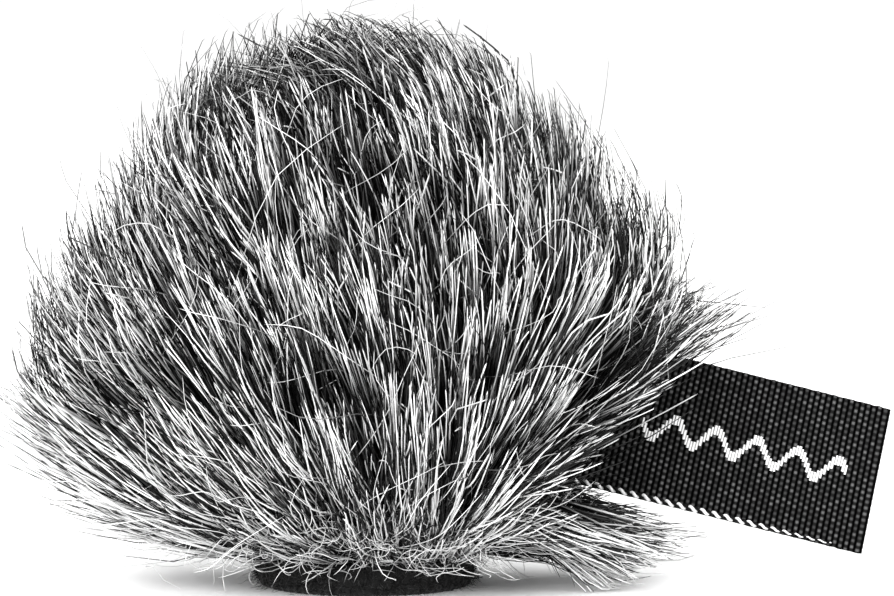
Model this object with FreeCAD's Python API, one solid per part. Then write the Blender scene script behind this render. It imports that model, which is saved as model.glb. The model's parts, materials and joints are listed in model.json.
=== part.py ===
"""Lavalier microphone head seated in its furry windscreen.

Millimetres, +Z up. The origin is the centre of the cable gland's mouth, which is
flush with the bottom of the windscreen's mouth band. The fur's side seams lie in
the XZ plane, and the woven label comes out of the seam on the +X side.
"""

import FreeCAD
import Part
import math
import os

from FreeCAD import Vector

# ---- microphone head -------------------------------------------------------
barrel_wall = 0.5
barrel_length = 11.0
barrel_chamfer = 0.3      # round the lower end
end_wall = 1.0            # the barrel's lower end, which the gland snaps into
end_hole_diameter = 4.0

gland_nose = 2.0          # how far the gland stands out below the barrel
gland_mouth_diameter = 4.4
gland_diameter = 5.6
gland_flange = 1.0        # the gland's lip inside the barrel
cable_bore_diameter = 2.2

cap_height = 5.0          # above the barrel's rim
cap_wall = 0.5
cap_skirt = 1.0           # pressed into the barrel
cap_edge_radius = 0.8
cap_hole_diameter = 1.2
cap_hole_ring = 2.1       # radius of the ring of holes
cap_hole_count = 6
cap_slot_count = 8
cap_slot_width = 0.7
cap_slot_height = 1.8

mesh_thickness = 0.1
mesh_hole_diameter = 0.5
mesh_hole_pitch = 0.85
felt_thickness = 0.5
disc_clearance = 0.05     # mesh and felt discs inside the cap

# ---- capsule ---------------------------------------------------------------
capsule_diameter = 6.0
capsule_height = 2.7
can_wall = 0.2
can_lip = 0.5             # how far the rolled lip reaches over the board
sound_inlet_diameter = 2.0
dust_felt_thickness = 0.2
boot_wall = 0.65          # rubber round the capsule, which fills the barrel
boot_base = 0.6           # rubber under the capsule
support_ring_height = 1.0
support_ring_wall = 1.1

stack_clearance = 0.05    # discs and rings inside the can
diaphragm_ring_height = 0.3
diaphragm_ring_wall = 0.45
diaphragm_thickness = 0.03
spacer_thickness = 0.07
backplate_thickness = 0.3
backplate_rim = 0.3       # the holder's wall round the backplate
backplate_hole_diameter = 0.4
backplate_hole_ring = 1.4
backplate_hole_count = 6
board_thickness = 0.4
contact_wall = 0.3
contact_inset = 0.3       # from the holder's wall to the contact ring
transistor_size = (1.2, 0.8, 0.5)
capacitor_size = (1.0, 0.5, 0.35)
chip_offset = 0.65        # of both chips from the board's centre
solder_radius = 0.55
solder_height = 0.35
solder_spacing = 2.4

# ---- windscreen ------------------------------------------------------------
head_clearance = 0.15     # foam and band to the head, all round
foam_wall = 3.0           # beside the head
foam_crown = 2.3          # above the head
foam_base_height = 3.6    # of the foam's flat lower end
backing_thickness = 1.0
pile_depth_side = 7.7
pile_depth_crown = 7.0
waist_height = 9.0        # where the ball is widest
pile_base_height = 0.6    # of the lowest point that the pile's curve aims at
skirt_height = 1.0        # the pile is trimmed level here, clear of what it stands on

band_wall = 1.25
band_height = 2.6
band_edge_radius = 0.45
elastic_diameter = 0.6
hem_stitch_count = 18
hem_stitch_diameter = 0.24
hem_stitch_height = 2.0
seam_stitch_diameter = 0.24
seam_stitch_length = 1.5
seam_stitch_count = 15    # on each side, from the band to the crown

# ---- label -----------------------------------------------------------------
label_length = 17.4       # from the line where it flexes to its fold
label_width = 7.5
label_layer = 0.22
label_gap = 0.16          # between the two layers
label_tilt = 14.0         # degrees, down towards the fold
label_root_height = 9.3   # of the middle of the flex line
label_tail_margin = 0.35  # from the end caught in the seam to the foam, at the waist
label_swing = 30.0        # degrees each way
label_clearance = 0.15
pile_parting = 4.0        # degrees that the pile stands off the label at full swing
tack_stitch_count = 7
tack_stitch_diameter = 0.26
tack_stitch_length = 1.6

# ---- sizes that follow -----------------------------------------------------
barrel_bore = capsule_diameter / 2 + boot_wall
barrel_radius = barrel_bore + barrel_wall
barrel_bottom = gland_nose
barrel_top = barrel_bottom + barrel_length
head_top = barrel_top + cap_height

capsule_top = barrel_top - cap_skirt - dust_felt_thickness
capsule_bottom = capsule_top - capsule_height
boot_bottom = capsule_bottom - boot_base
support_bottom = boot_bottom - support_ring_height
can_inner = capsule_diameter / 2 - can_wall

bore_radius = barrel_radius + head_clearance
foam_radius = bore_radius + foam_wall
foam_top = head_top + head_clearance + foam_crown
backing_radius = foam_radius + backing_thickness
backing_top = foam_top + backing_thickness
pile_radius = backing_radius + pile_depth_side
pile_top = backing_top + pile_depth_crown
band_radius = bore_radius + band_wall

label_thickness = 2 * label_layer + label_gap
label_root = label_thickness / 2 + label_clearance
label_axis_x = backing_radius + label_root
label_tail_length = backing_thickness - label_tail_margin


def save(name, shape):
    """Writes one node and stops if its solid is unsound."""
    if not shape.isValid():
        raise ValueError(name + " is not a valid shape")
    shape.exportStep("parts/" + name + ".step")
    print(name, len(shape.Solids), round(shape.Volume, 3))


def group(shapes):
    """Several separate solids in one node."""
    return Part.makeCompound(shapes)


def disc(radius, bottom, height, x=0.0, y=0.0):
    return Part.makeCylinder(radius, height, Vector(x, y, bottom))


def ring(outer, inner, bottom, height):
    return disc(outer, bottom, height).cut(disc(inner, bottom, height))


def box(size, x, y, bottom):
    return Part.makeBox(size[0], size[1], size[2], Vector(x - size[0] / 2, y - size[1] / 2, bottom))


def outlined(points):
    """A flat face in the XZ plane with straight sides."""
    corners = [Vector(x, 0, z) for x, z in points]
    return Part.Face(Part.makePolygon(corners + corners[:1]))


def quarter_ellipse(radius, height, waist):
    """A quarter of an ellipse in the XZ plane, from the waist to the axis."""
    end = Vector(0, 0, waist + height)
    side = Vector(radius, 0, waist)
    centre = Vector(0, 0, waist)
    if abs(height) > radius:
        ellipse = Part.Ellipse(end, side, centre)
    else:
        ellipse = Part.Ellipse(side, end, centre)
    first, last = ellipse.parameter(side), ellipse.parameter(end)
    span = (last - first) % (2 * math.pi)
    if span < math.pi:
        return Part.ArcOfEllipse(ellipse, first, first + span).toShape()
    return Part.ArcOfEllipse(ellipse, last, last + 2 * math.pi - span).toShape()


def egg_section(radius, top, bottom, waist=waist_height):
    """Half the section of a turned ball: widest at the waist, with its own crown and base."""
    crown = quarter_ellipse(radius, top - waist, waist)
    base = quarter_ellipse(radius, bottom - waist, waist)
    axis = Part.makeLine(Vector(0, 0, bottom), Vector(0, 0, top))
    return Part.Face(Part.Wire(Part.__sortEdges__([crown, base, axis])))


def block(left, right, bottom, top):
    """A rectangle in the XZ plane."""
    return outlined([(left, bottom), (right, bottom), (right, top), (left, top)])


def turned(section, angle=360):
    """A solid turned about Z from a section in the XZ plane."""
    return section.Faces[0].revolve(Vector(0, 0, 0), Vector(0, 0, 1), angle)


def ring_of(count, make):
    return [make(math.radians(360 * i / count)) for i in range(count)]


# ---- microphone head -------------------------------------------------------
def make_barrel():
    inside = barrel_bottom + end_wall
    outline = [
        (end_hole_diameter / 2, barrel_bottom),
        (barrel_radius - barrel_chamfer, barrel_bottom),
        (barrel_radius, barrel_bottom + barrel_chamfer),
        (barrel_radius, barrel_top),
        (barrel_bore, barrel_top),
        (barrel_bore, inside),
        (end_hole_diameter / 2, inside),
    ]
    return turned(outlined(outline))


def make_gland():
    neck_top = barrel_bottom + end_wall
    outline = [
        (cable_bore_diameter / 2, 0),
        (gland_mouth_diameter / 2, 0),
        (gland_diameter / 2, gland_nose),
        (end_hole_diameter / 2, gland_nose),
        (end_hole_diameter / 2, neck_top),
        (gland_diameter / 2, neck_top),
        (gland_diameter / 2, neck_top + gland_flange),
        (cable_bore_diameter / 2, neck_top + gland_flange),
    ]
    return turned(outlined(outline))


def make_grille_cap():
    shell = disc(barrel_radius, barrel_top, cap_height)
    rim = [e for e in shell.Edges if abs(e.BoundBox.ZMin - head_top) < 0.01 and e.BoundBox.ZLength < 0.01]
    shell = shell.makeFillet(cap_edge_radius, rim)
    inside = barrel_radius - cap_wall
    hollow = disc(inside, barrel_top, cap_height - cap_wall)
    skirt = ring(barrel_bore, barrel_bore - cap_wall, barrel_top - cap_skirt, cap_skirt + cap_wall)
    holes = [disc(cap_hole_diameter / 2, head_top - 2 * cap_wall, 3 * cap_wall)]

    def top_hole(a):
        x, y = cap_hole_ring * math.cos(a), cap_hole_ring * math.sin(a)
        return disc(cap_hole_diameter / 2, head_top - 2 * cap_wall, 3 * cap_wall, x, y)

    def side_slot(a):
        slot = Part.makeBox(barrel_radius, cap_slot_width, cap_slot_height)
        middle = barrel_top + (cap_height - cap_slot_height) / 2
        slot.translate(Vector(inside / 2, -cap_slot_width / 2, middle))
        slot.rotate(Vector(0, 0, 0), Vector(0, 0, 1), math.degrees(a))
        return slot

    holes += ring_of(cap_hole_count, top_hole) + ring_of(cap_slot_count, side_slot)
    return shell.cut(hollow).fuse(skirt).cut(group(holes)).removeSplitter()


def make_grille_mesh():
    radius = barrel_radius - cap_wall - disc_clearance
    sheet = disc(radius, head_top - cap_wall - mesh_thickness, mesh_thickness)
    holes = []
    rows = int(radius / mesh_hole_pitch) + 1
    for row in range(-rows, rows + 1):
        for column in range(-rows, rows + 1):
            x = (column + row % 2 / 2) * mesh_hole_pitch
            y = row * mesh_hole_pitch * math.sqrt(3) / 2
            if math.hypot(x, y) < radius - mesh_hole_diameter:
                holes.append(disc(mesh_hole_diameter / 2, head_top - 2 * cap_wall, 2 * cap_wall, x, y))
    return sheet.cut(group(holes))


def make_acoustic_felt():
    top = head_top - cap_wall - mesh_thickness
    return disc(barrel_radius - cap_wall - disc_clearance, top - felt_thickness, felt_thickness)


def make_support_ring():
    return ring(barrel_bore, barrel_bore - support_ring_wall, support_bottom, support_ring_height)


def make_capsule_boot():
    sleeve = ring(barrel_bore, capsule_diameter / 2, boot_bottom, boot_base + capsule_height)
    floor = ring(capsule_diameter / 2, capsule_diameter / 2 - can_lip, boot_bottom, boot_base)
    return sleeve.fuse(floor).removeSplitter()


def make_capsule_can():
    outer = capsule_diameter / 2
    inlet = sound_inlet_diameter / 2
    outline = [
        (inlet, capsule_top),
        (outer, capsule_top),
        (outer, capsule_bottom),
        (outer - can_lip, capsule_bottom),
        (outer - can_lip, capsule_bottom + can_wall),
        (can_inner, capsule_bottom + can_wall),
        (can_inner, capsule_top - can_wall),
        (inlet, capsule_top - can_wall),
    ]
    return turned(outlined(outline))


def make_dust_felt():
    return disc(capsule_diameter / 2 - can_wall, capsule_top, dust_felt_thickness)


def make_capsule_stack():
    """The pieces inside the can, from its face down to the rolled lip."""
    outer = can_inner - stack_clearance
    inner = outer - diaphragm_ring_wall
    plate_radius = can_inner - backplate_rim
    parts = {}
    z = capsule_top - can_wall - diaphragm_ring_height
    parts["diaphragm_ring"] = ring(outer, inner, z, diaphragm_ring_height)
    z -= diaphragm_thickness
    parts["diaphragm"] = disc(outer, z, diaphragm_thickness)
    z -= spacer_thickness
    parts["spacer_ring"] = ring(outer, inner, z, spacer_thickness)
    plate_bottom = z - backplate_thickness
    holes = ring_of(backplate_hole_count, lambda a: disc(
        backplate_hole_diameter / 2, plate_bottom, backplate_thickness,
        backplate_hole_ring * math.cos(a), backplate_hole_ring * math.sin(a)))
    parts["backplate"] = disc(plate_radius, plate_bottom, backplate_thickness).cut(group(holes))
    board_bottom = capsule_bottom + can_wall
    board_top = board_bottom + board_thickness
    parts["capsule_board"] = disc(outer, board_bottom, board_thickness)
    ledge = plate_radius - contact_inset
    holder = ring(outer, ledge, board_top, z - board_top)
    parts["backplate_holder"] = holder.cut(disc(plate_radius, plate_bottom, backplate_thickness))
    parts["contact_ring"] = ring(ledge, ledge - contact_wall, board_top, plate_bottom - board_top)
    parts["transistor"] = box(transistor_size, 0, chip_offset, board_top)
    parts["filter_capacitor"] = box(capacitor_size, 0, -chip_offset, board_top)
    parts["solder_joints"] = group([
        Part.makeCone(solder_radius / 2, solder_radius, solder_height,
                      Vector(side * solder_spacing / 2, 0, board_bottom - solder_height))
        for side in (-1, 1)])
    return parts


# ---- windscreen ------------------------------------------------------------
def foam_section():
    """Half the foam's section, before its bore."""
    ball = egg_section(foam_radius, foam_top, pile_base_height + backing_thickness)
    return ball.cut(block(0, 2 * foam_radius, 0, foam_base_height))


def make_foam_core():
    return turned(foam_section().cut(block(0, bore_radius, 0, head_top + head_clearance)))


def label_place(shape):
    """Moves a piece of the label from its own frame to the seam.

    In its own frame X runs from the flex line towards the fold, Z across the
    width, and the origin is the middle of the flex line.
    """
    moved = shape.copy()
    moved.rotate(Vector(0, 0, 0), Vector(0, 1, 0), label_tilt)
    moved.translate(Vector(label_axis_x, 0, label_root_height))
    return moved


def stadium(start, end, half):
    """A flat bar along X with round ends, across the label's width."""
    span = Part.makeBox(end - start, 2 * half, label_width, Vector(start, -half, -label_width / 2))
    ends = [Part.makeCylinder(half, label_width, Vector(x, 0, -label_width / 2)) for x in (start, end)]
    return span.fuse(ends).removeSplitter()


def make_label_tab():
    half = label_thickness / 2
    outer = stadium(0, label_length - half, half)
    inner = stadium(0, label_length - half, label_gap / 2)
    return label_place(outer.cut(inner))


def make_label_tail():
    tail = Part.makeBox(label_tail_length, label_thickness, label_width,
                        Vector(-label_root - label_tail_length, -label_thickness / 2, -label_width / 2))
    return label_place(tail)


def label_slot():
    """Room for the tail in the seam, and the wedge that the pile opens for the swing."""
    near = label_root
    reach = pile_radius
    spread = near + reach * math.tan(math.radians(label_swing + pile_parting))
    width = label_width + 2 * label_clearance
    outline = [(-near, near), (0, near), (reach, spread), (reach, -spread), (0, -near), (-near, -near)]
    corners = [Vector(x, y, -width / 2) for x, y in outline]
    wedge = Part.Face(Part.makePolygon(corners + corners[:1])).extrude(Vector(0, 0, width))
    return label_place(wedge)


def make_fur_panels(tail):
    """Front and back panels: knit backing with its pile, open at the mouth and round the label."""
    ball = egg_section(pile_radius, pile_top, pile_base_height)
    level = block(0, 2 * pile_radius, -1, skirt_height)
    mouth = block(0, band_radius, -1, band_height)
    throat = block(0, bore_radius, -1, head_top + head_clearance)
    section = ball.cut([foam_section(), level, mouth, throat])
    opening = label_slot()
    return [turned(section, angle).cut(opening).cut(tail) for angle in (-180, 180)]


def make_mouth_band():
    band = ring(band_radius, bore_radius, 0, band_height)
    rims = [e for e in band.Edges if abs(e.BoundBox.ZMin) < 0.01 and e.BoundBox.ZLength < 0.01]
    band = band.makeFillet(band_edge_radius, rims)
    return band.cut(make_mouth_elastic())


def make_mouth_elastic():
    return Part.makeTorus(bore_radius + band_wall / 2, elastic_diameter / 2, Vector(0, 0, band_height / 2))


def make_hem_stitches():
    def stitch(a):
        outward = Vector(math.cos(a), math.sin(a), 0)
        start = outward * (bore_radius + band_wall / 3)
        start.z = hem_stitch_height
        return Part.makeCylinder(hem_stitch_diameter / 2, band_wall, start, outward)
    return group(ring_of(hem_stitch_count, stitch))


def make_side_seam_thread():
    """Short bars across the seam, in the backing, from the band to the crown on both sides."""
    middle = backing_thickness / 2
    stitches = []
    for side in (-1, 1):
        for i in range(seam_stitch_count):
            a = math.radians(-50 + 135 * i / (seam_stitch_count - 1))
            half = foam_top - waist_height if a > 0 else waist_height - pile_base_height - backing_thickness
            x = side * (foam_radius + middle) * math.cos(a)
            z = waist_height + (half + middle) * math.sin(a)
            if side > 0 and abs(z - label_root_height) < label_width / 2 + seam_stitch_diameter:
                continue
            stitches.append(Part.makeCylinder(seam_stitch_diameter / 2, seam_stitch_length,
                                              Vector(x, -seam_stitch_length / 2, z), Vector(0, 1, 0)))
    return group(stitches)


def make_label_stitches():
    middle = -label_root - label_tail_length / 2
    stitches = []
    for i in range(tack_stitch_count):
        z = label_width * ((i + 0.5) / tack_stitch_count - 0.5)
        stitches.append(Part.makeCylinder(tack_stitch_diameter / 2, tack_stitch_length,
                                          Vector(middle, -tack_stitch_length / 2, z), Vector(0, 1, 0)))
    return label_place(group(stitches))


os.makedirs("parts", exist_ok=True)

save("barrel", make_barrel())
save("cable_gland", make_gland())
save("grille_cap", make_grille_cap())
save("grille_mesh", make_grille_mesh())
save("acoustic_felt", make_acoustic_felt())
save("support_ring", make_support_ring())
save("capsule_boot", make_capsule_boot())
save("capsule_can", make_capsule_can())
save("dust_felt", make_dust_felt())
for node, piece in make_capsule_stack().items():
    save(node, piece)

label_tail = make_label_tail()
fur_front, fur_back = make_fur_panels(label_tail)
save("foam_core", make_foam_core())
save("fur_panel_front", fur_front)
save("fur_panel_back", fur_back)
save("mouth_band", make_mouth_band())
save("mouth_elastic", make_mouth_elastic())
save("hem_stitches", make_hem_stitches())
save("side_seam_thread", make_side_seam_thread())
save("label_tail", label_tail)
save("label_stitches", make_label_stitches())
save("label_tab", make_label_tab())

print("head", head_top, "ball", round(2 * pile_radius, 2), "x", round(pile_top, 2))
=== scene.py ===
import bpy
import json
import math
import numpy as np
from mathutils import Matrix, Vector, noise


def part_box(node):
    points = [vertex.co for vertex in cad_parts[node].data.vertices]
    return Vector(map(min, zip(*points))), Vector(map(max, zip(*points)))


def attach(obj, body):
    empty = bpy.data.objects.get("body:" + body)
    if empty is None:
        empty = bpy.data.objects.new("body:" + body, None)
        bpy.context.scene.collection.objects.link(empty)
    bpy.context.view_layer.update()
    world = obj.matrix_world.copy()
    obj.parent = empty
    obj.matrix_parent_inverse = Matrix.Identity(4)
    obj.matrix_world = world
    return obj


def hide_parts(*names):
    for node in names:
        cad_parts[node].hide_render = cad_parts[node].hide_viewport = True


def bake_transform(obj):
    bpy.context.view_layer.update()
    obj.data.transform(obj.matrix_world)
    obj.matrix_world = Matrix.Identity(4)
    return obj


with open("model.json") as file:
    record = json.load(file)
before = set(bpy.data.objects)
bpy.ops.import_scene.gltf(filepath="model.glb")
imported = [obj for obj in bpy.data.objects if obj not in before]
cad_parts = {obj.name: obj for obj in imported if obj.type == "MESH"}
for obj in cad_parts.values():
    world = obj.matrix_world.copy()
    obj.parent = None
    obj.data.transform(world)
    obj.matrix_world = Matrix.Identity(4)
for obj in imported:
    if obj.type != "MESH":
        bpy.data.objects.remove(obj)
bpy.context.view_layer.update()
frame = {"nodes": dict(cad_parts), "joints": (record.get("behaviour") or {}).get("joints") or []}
nodes = frame["nodes"]
joints = {j["name"]: j for j in frame["joints"]}
mm = 0.001
fullTurn = 2 * math.pi
gloss = "Specular IOR Level"


def setMode(mode):
    bpy.ops.object.mode_set(mode=mode)


def selectMesh():
    bpy.ops.mesh.select_all(action="SELECT")


def finishMesh():
    bpy.ops.mesh.normals_make_consistent(inside=False)
    setMode("OBJECT")


def deselectAll():
    if bpy.context.object and bpy.context.object.mode != "OBJECT":
        setMode("OBJECT")
    bpy.ops.object.select_all(action="DESELECT")


def useOnly(obj):
    deselectAll()
    obj.select_set(True)
    bpy.context.view_layer.objects.active = obj
    return obj


def rename(obj, name):
    obj.name = name
    obj.data.name = name
    return obj


def paint(obj, material):
    obj.data.materials.clear()
    obj.data.materials.append(material)
    return obj


def vertexArray(obj):
    out = np.zeros(len(obj.data.vertices) * 3)
    obj.data.vertices.foreach_get("co", out)
    return out.reshape(-1, 3)


def flatRadius(places):
    return np.hypot(places[..., 0], places[..., 1])


def putVertices(obj, places):
    obj.data.vertices.foreach_set("co", np.asarray(places, float).ravel())
    obj.data.update()


def applyModifiers(obj):
    useOnly(obj)
    for modifier in list(obj.modifiers):
        bpy.ops.object.modifier_apply(modifier=modifier.name)


def smooth(obj, angle=40):
    useOnly(obj)
    bpy.ops.object.shade_smooth_by_angle(angle=math.radians(angle))
    return obj


def unit(v):
    return v / np.maximum(np.linalg.norm(v, axis=-1, keepdims=True), 1e-12)


def softStep(x, low, high):
    t = np.clip((x - low) / (high - low), 0, 1)
    return t * t * (3 - 2 * t)


def patch(places, *limits):  # 1 in one place on the ball, fading to 0 outside it; limits in millimetres
    share = 1.0
    for axis, outside, inside, *centre in limits:
        value = places[:, "xyz".index(axis)] / mm
        if centre:
            value = np.abs(value - centre[0])
        share = share * softStep(value, outside, inside)
    return share


def patches(places, table):
    return sum(amount * patch(places, *limits) for amount, *limits in table)


def noiseAt(places, size, seed):
    shift = Vector((seed * 7.31, seed * 3.17, seed * 5.73))
    return np.array([noise.noise(Vector(p) / size + shift) for p in places])


def spunPiece(name, profile, steps):
    bpy.ops.mesh.primitive_plane_add(size=mm)  # one corner is kept, and drawn out along the profile
    obj = bpy.context.object
    setMode("EDIT")
    bpy.ops.mesh.merge(type="CENTER")
    setMode("OBJECT")
    putVertices(obj, [(profile[0][0], 0, profile[0][1])])
    setMode("EDIT")
    selectMesh()
    for a, b in zip(profile, profile[1:] + profile[:1]):
        bpy.ops.mesh.extrude_vertices_move(TRANSFORM_OT_translate={"value": (b[0] - a[0], 0, b[1] - a[1])})
    selectMesh()
    bpy.ops.mesh.remove_doubles(threshold=1e-6)
    bpy.ops.mesh.spin(steps=steps, angle=fullTurn, center=(0, 0, 0), axis=(0, 0, 1))
    selectMesh()
    bpy.ops.mesh.remove_doubles(threshold=2e-6)
    bpy.ops.mesh.dissolve_degenerate(threshold=1e-6)
    finishMesh()
    return rename(obj, name)


def twoHalves(obj, names):
    halves = []
    for name, side in zip(names, (1, -1)):  # the front half has the lower y
        useOnly(obj)
        bpy.ops.object.duplicate()
        half = bpy.context.object
        setMode("EDIT")
        selectMesh()
        bpy.ops.mesh.bisect(plane_co=(0, 0, 0), plane_no=(0, side, 0), use_fill=True, clear_outer=True)
        selectMesh()
        finishMesh()
        halves.append(rename(half, name))
    bpy.data.objects.remove(obj)
    return halves


# where the ball is
furHigh = np.maximum(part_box("fur_panel_front")[1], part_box("fur_panel_back")[1])
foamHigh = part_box("foam_core")[1]
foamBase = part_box("foam_core")[0].z
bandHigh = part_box("mouth_band")[1]
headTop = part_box("grille_cap")[1].z
panelPoints = vertexArray(nodes["fur_panel_front"])
waist = float(panelPoints[np.argmax(np.hypot(panelPoints[:, 0], panelPoints[:, 1])), 2])
bandRadius = bandHigh.x
backingDepth = 1.0 * mm
fitGap = 0.15 * mm  # between the head and the foam
mouthGap = 0.3 * mm  # between the band and the nearest hairs
crownLat = math.radians(89)
goldenAngle = math.pi * (3 - math.sqrt(5))
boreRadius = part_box("barrel")[1].x + fitGap
pileBottom = 0.6 * mm

hinge = joints["label_flex"]
flexPoint = np.array(hinge["pos_m"])
flexAxis = unit(np.array(hinge["axis"], float))
labelAlong = unit(np.cross(np.array([0.0, 1.0, 0.0]), flexAxis))
swing = math.radians(hinge["range_deg"][1])


def outwardAt(angle):
    return np.stack([np.cos(angle), np.sin(angle), np.zeros_like(angle)], -1)


def labelFrame(places):
    d = places - flexPoint
    return d @ labelAlong, d[..., 1], d @ flexAxis


def sweptBy(u, space):  # how far to each side the label swings
    return space["room"] + np.maximum(u, 0) * math.tan(swing + space["turn"])


tabAlong, tabAcross, tabUp = labelFrame(vertexArray(nodes["label_tab"]))
tailAlong = labelFrame(vertexArray(nodes["label_tail"]))[0]
tab = {"start": float(tailAlong.min()), "end": float(tabAlong.max()), "half": float(tabUp.max()),
       "thick": float(np.ptp(tabAcross))}


def egg(radius, top, bottom):
    return {"radius": radius, "top": top, "bottom": bottom, "waist": waist}


foamEgg = egg(foamHigh.x, foamHigh.z, pileBottom + backingDepth)
backingEgg = egg(foamHigh.x + backingDepth, foamHigh.z + backingDepth, pileBottom)
pileEgg = egg(float(furHigh[1]), float(furHigh[2]), pileBottom)


def between(a, b, share):
    return {k: a[k] + (b[k] - a[k]) * share for k in a}


rootShare = 0.5  # the hairs come clear of the dense underwool here, between backing and pile top
rootEgg = between(backingEgg, pileEgg, rootShare)


def halfHeight(shape, above):
    return np.where(above, shape["top"] - shape["waist"], shape["waist"] - shape["bottom"])


def levelIn(shape, places):  # 0 at the shape's centre and 1 on its surface
    up = places[..., 2] - waist
    return np.hypot(flatRadius(places) / shape["radius"], up / halfHeight(shape, up > 0))


def onEgg(shape, azimuth, lat):
    half = halfHeight(shape, lat > 0)[:, None]
    out = outwardAt(azimuth)
    up = np.array([0.0, 0.0, 1.0])
    c, s = np.cos(lat)[:, None], np.sin(lat)[:, None]
    place = out * shape["radius"] * c + up * (shape["waist"] + half * s)
    return place, unit(out * c / shape["radius"] + up * s / half)


def lowestLat(shape, radius):
    return -math.acos(radius / shape["radius"])


def eggCurve(shape, radius, count):
    lat = np.linspace(lowestLat(shape, radius), math.pi / 2, count)
    half = halfHeight(shape, lat > 0)
    return list(zip((shape["radius"] * np.cos(lat)).tolist(), (shape["waist"] + half * np.sin(lat)).tolist()))


def scatter(shape, count, latLow, latHigh, rng, jitter):  # evenly, in a sunflower's spiral
    lat = np.linspace(latLow, latHigh, 1500)
    half = halfHeight(shape, lat > 0)
    weight = np.cos(lat) * np.hypot(shape["radius"] * np.sin(lat), half * np.cos(lat))
    total = np.cumsum(weight)
    found = np.interp((np.arange(count) + 0.5) / count, total / total[-1], lat)
    azimuth = np.arange(count) * goldenAngle
    azimuth = azimuth + rng.normal(0, jitter, count) / np.maximum(np.cos(found), 0.15)
    return azimuth % fullTurn, np.clip(found + rng.normal(0, jitter, count), latLow, latHigh)


def scatterRoots(count, rng, jitter):
    low = lowestLat(rootEgg, bandRadius + mouthGap)
    azimuth, lat = scatter(rootEgg, count, low, crownLat, rng, jitter)
    return onEgg(rootEgg, azimuth, lat)


def addNode(tree, kind, settings=None, inputs=None):
    made = tree.nodes.new(kind)
    for key, value in (settings or {}).items():
        setattr(made, key, value)
    for key, value in (inputs or {}).items():
        if isinstance(value, bpy.types.NodeSocket):
            tree.links.new(value, made.inputs[key])
        else:
            made.inputs[key].default_value = value
    return made


def mathNode(tree, operation, a, b=0.0, c=0.0):
    return addNode(tree, "ShaderNodeMath", {"operation": operation}, {0: a, 1: b, 2: c}).outputs[0]


def mixColour(tree, share, a, b, kind="MIX"):
    made = addNode(tree, "ShaderNodeMix", {"data_type": "RGBA", "blend_type": kind}, {0: share, 6: a, 7: b})
    return made.outputs[2]


def rangeNode(tree, value, low, high, toLow=0.0, toHigh=1.0, kind="SMOOTHSTEP"):
    return addNode(tree, "ShaderNodeMapRange", {"interpolation_type": kind},
                   {0: value, 1: low, 2: high, 3: toLow, 4: toHigh}).outputs[0]


def newGroup(name, inputs, outputs):
    group = bpy.data.node_groups.new(name, "ShaderNodeTree")
    for label, kind, value in inputs:
        socket = group.interface.new_socket(label, in_out="INPUT", socket_type="NodeSocket" + kind)
        if value is not None:
            socket.default_value = value
    for label, kind in outputs:
        group.interface.new_socket(label, in_out="OUTPUT", socket_type="NodeSocket" + kind)
    return group, group.nodes.new("NodeGroupInput"), group.nodes.new("NodeGroupOutput")


def addBump(tree, shader, distance, height):
    raised = addNode(tree, "ShaderNodeBump", None, {"Distance": distance, "Height": height})
    tree.links.new(raised.outputs[0], shader.inputs["Normal"])


def newMaterial(name, values=None):
    material = bpy.data.materials.new(name)
    material.use_nodes = True
    shader = material.node_tree.nodes["Principled BSDF"]
    for key, value in (values or {}).items():
        shader.inputs[key].default_value = value
    return material, material.node_tree, shader


def grey(value, warm=0.0):
    return (value * (1 + warm), value, value * (1 - warm), 1.0)


shadeStrips = 64
hairShadeAt = {"leavesRoot": (0.2, 0.5), "nearsTip": (0.4, 0.72)}  # shares of a hair's length


def makeHairShade():
    group, inside, out = newGroup(
        "hairShade",
        [("UV", "Vector", None), ("Root", "Color", grey(0.01)), ("Middle", "Color", grey(0.2)),
         ("Tip", "Color", grey(0.8)), ("Variation", "Float", 0.5), ("Shift", "Float", 0.2)],
        [("Color", "Color"), ("Roughness", "Float")])
    given = inside.outputs

    def calc(*values):
        return mathNode(group, *values)

    parts = addNode(group, "ShaderNodeSeparateXYZ", None, {0: given["UV"]})
    number = calc("FLOOR", calc("MULTIPLY", parts.outputs[0], float(shadeStrips)))
    chance = addNode(group, "ShaderNodeTexWhiteNoise", {"noise_dimensions": "1D"}, {"W": number})
    first = chance.outputs["Value"]
    second = calc("DIVIDE", number, float(shadeStrips))  # the strips run from bright to dark
    shift = calc("MULTIPLY", calc("SUBTRACT", first, 0.5), given["Shift"])
    along = calc("ADD", parts.outputs[1], shift)
    leavesRoot = rangeNode(group, along, *hairShadeAt["leavesRoot"])
    nearsTip = rangeNode(group, along, *hairShadeAt["nearsTip"])
    colour = mixColour(group, leavesRoot, given["Root"], given["Middle"])
    colour = mixColour(group, nearsTip, colour, given["Tip"])
    dark = calc("MULTIPLY", calc("POWER", second, 1.6), given["Variation"])
    colour = mixColour(group, dark, colour, given["Root"])
    group.links.new(colour, out.inputs["Color"])
    group.links.new(calc("MULTIPLY_ADD", first, 0.2, 0.35), out.inputs["Roughness"])
    return group


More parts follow.
